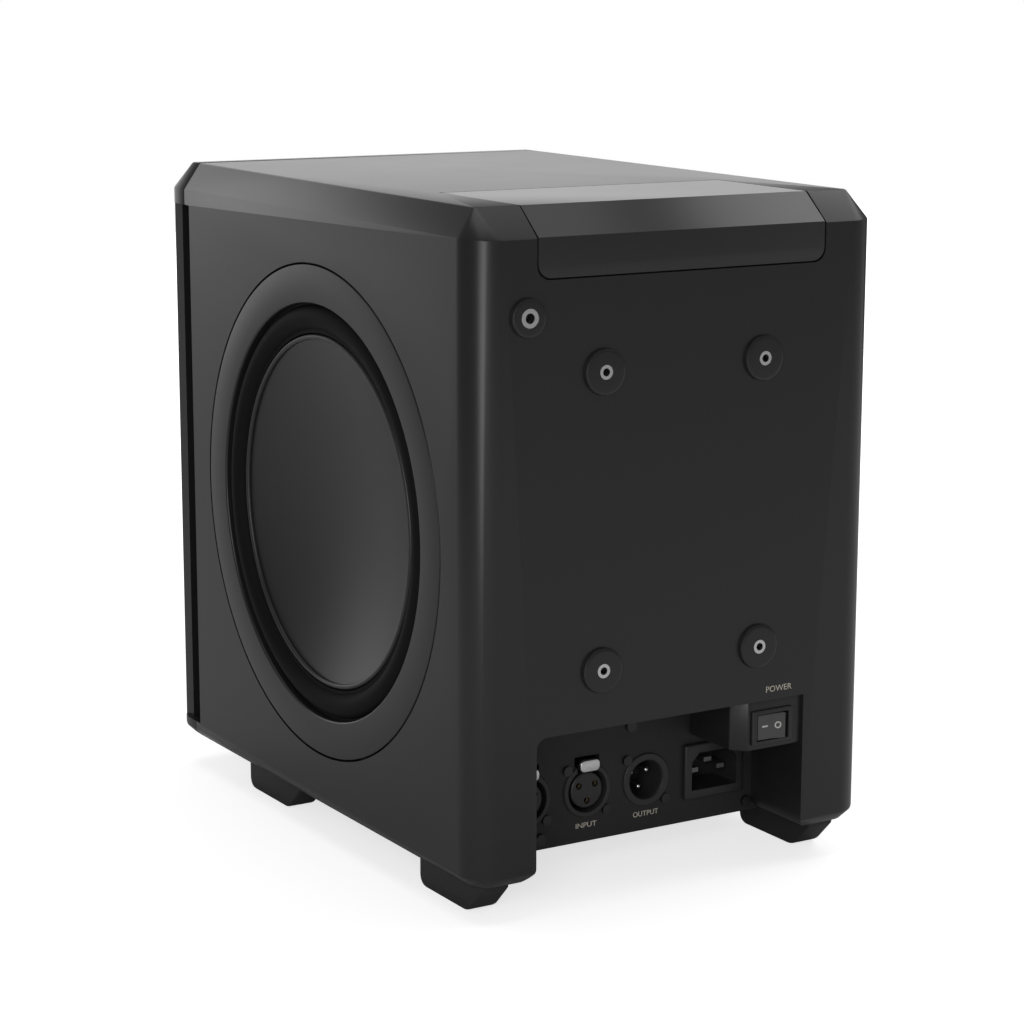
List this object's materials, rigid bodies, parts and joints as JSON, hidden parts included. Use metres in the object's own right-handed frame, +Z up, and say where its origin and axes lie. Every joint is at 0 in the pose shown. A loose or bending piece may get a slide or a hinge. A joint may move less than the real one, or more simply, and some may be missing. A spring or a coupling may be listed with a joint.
{
  "type": "active subwoofer",
  "caption": "Compact active subwoofer: bevelled black cabinet, opposed side-firing woofers, rear connector bay with balanced sockets, mains inlet and power switch, lift-off hatch, rail feet.",
  "frame": {"origin": "on the floor, under the middle of the body's width and depth", "axes": "+Z up, front face towards -Y, rear panel towards +Y, the woofer seen in the picture on the +X side"},
  "size_m": [0.2, 0.292, 0.293],
  "materials": {
    "cabinet_paint": "satin black paint over fibreboard",
    "bare_board": "raw",
    "black_plastic": "matte",
    "hatch_paint": "satin black",
    "rubber_part": "matte",
    "ring_paint": "satin black",
    "basket_metal": "black coated casting",
    "foam_gasket": "matte",
    "cone_metal": "satin black",
    "copper": "varnished wire",
    "spider_cloth": "resin-treated cloth",
    "steel_part": "zinc plated",
    "ferrite": "sintered ferrite",
    "black_steel": "black oxide",
    "panel_paint": "fine black powder coat",
    "socket_plastic": "moulded",
    "brass_part": "turned",
    "bright_metal": "nickel plated",
    "rocker_plastic": "fine texture",
    "sheet_metal": "galvanised",
    "circuit_board": "solder resist",
    "heat_sink_metal": "black anodised",
    "wadding": "soft fibre"
  },
  "bodies": {
    "enclosure": {"cabinet": "cabinet_paint", "cabinet_brace": "bare_board", "front_baffle": "cabinet_paint", "front_cover": "cabinet_paint", "cover_pegs": "black_plastic", "port_tube": "black_plastic", "hatch_tray": "black_plastic", "hatch_pegs": "rubber_part", "trim_ring_right": "ring_paint", "trim_ring_left": "ring_paint", "basket_right": "basket_metal", "basket_left": "basket_metal", "gasket_right": "foam_gasket", "gasket_left": "foam_gasket", "surround_right": "rubber_part", "surround_left": "rubber_part", "spider_right": "spider_cloth", "spider_left": "spider_cloth", "top_plate_right": "steel_part", "top_plate_left": "steel_part", "magnet_right": "ferrite", "magnet_left": "ferrite", "pole_piece_right": "steel_part", "pole_piece_left": "steel_part", "woofer_screws": "black_steel", "connector_panel": "panel_paint", "panel_screws": "black_steel", "input_socket_a": "socket_plastic", "input_socket_b": "socket_plastic", "output_socket": "socket_plastic", "input_contacts": "brass_part", "output_pins": "bright_metal", "socket_screws": "black_steel", "mains_inlet": "socket_plastic", "inlet_pins": "bright_metal", "switch_body": "socket_plastic", "mounting_inserts": "bright_metal", "safety_insert": "bright_metal", "foot_rear_right": "rubber_part", "foot_rear_left": "rubber_part", "foot_front_right": "rubber_part", "foot_front_left": "rubber_part", "foot_screws": "steel_part", "module_bracket": "sheet_metal", "amplifier_board": "circuit_board", "power_supply_board": "circuit_board", "heat_sink": "heat_sink_metal", "transformer": "steel_part", "board_parts": "black_plastic", "board_standoffs": "brass_part", "damping_pad": "wadding"},
    "cone_right": {"cone_right": "cone_metal", "voice_coil_right": "copper"},
    "cone_left": {"cone_left": "cone_metal", "voice_coil_left": "copper"},
    "latch_a": {"latch_a": "bright_metal"},
    "latch_b": {"latch_b": "bright_metal"},
    "rocker": {"power_rocker": "rocker_plastic"},
    "hatch": {"access_hatch": "hatch_paint"}
  },
  "joints": [
    {"name": "cone_right_travel", "type": "slide", "parent": "enclosure", "child": "cone_right", "axis": [1, 0, 0], "range_m": [-0.005, 0.005], "stiffness_N_per_m": 2500, "deforming": ["surround_right", "spider_right"]},
    {"name": "cone_left_travel", "type": "slide", "parent": "enclosure", "child": "cone_left", "axis": [-1, 0, 0], "range_m": [-0.005, 0.005], "stiffness_N_per_m": 2500, "deforming": ["surround_left", "spider_left"]},
    {"name": "latch_a_push", "type": "slide", "parent": "enclosure", "child": "latch_a", "axis": [0, -1, 0], "range_m": [0, 0.002], "stiffness_N_per_m": 500},
    {"name": "latch_b_push", "type": "slide", "parent": "enclosure", "child": "latch_b", "axis": [0, -1, 0], "range_m": [0, 0.002], "stiffness_N_per_m": 500},
    {"name": "power_rocker_tilt", "type": "hinge", "parent": "enclosure", "child": "rocker", "pos_m": [-0.049, 0.137, 0.065], "axis": [0, 0, 1], "range_deg": [0, 14]},
    {"name": "hatch_lift", "type": "slide", "parent": "enclosure", "child": "hatch", "axis": [0, 0, 1], "range_m": [0, 0.02]}
  ],
  "couplings": [
    {"joint": "cone_left_travel", "follows": "cone_right_travel", "ratio": 1}
  ]
}
